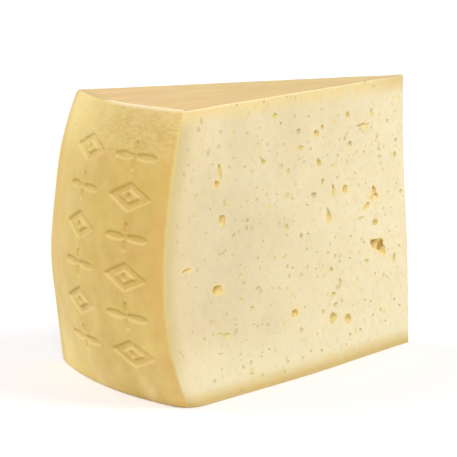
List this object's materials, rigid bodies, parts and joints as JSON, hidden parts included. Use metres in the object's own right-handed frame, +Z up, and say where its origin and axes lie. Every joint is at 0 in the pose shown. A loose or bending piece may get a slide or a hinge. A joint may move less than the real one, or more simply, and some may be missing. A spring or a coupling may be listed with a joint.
{
  "type": "cheese wedge",
  "caption": "Wedge of hard pressed cheese with a swollen, stamped rind, flat cuts dotted with small eyes and a sharp upright tip. It stands on the wheel's flat underside.",
  "frame": {"origin": "under the middle of the wedge's bounding box, on the plane that it stands on", "axes": "+Z up, along the wheel's axis; +Y from the rind towards the tip; +X towards the near cut, the one with the larger eyes"},
  "size_m": [0.1148, 0.1782, 0.1309],
  "materials": {
    "cheese": "pale cream paste with fine pinholes and a soft waxy sheen; the rind is smooth, matte and straw-gold, and darkens to tan at the rims"
  },
  "bodies": {
    "root": {"cheese_wedge": "cheese"}
  },
  "joints": []
}
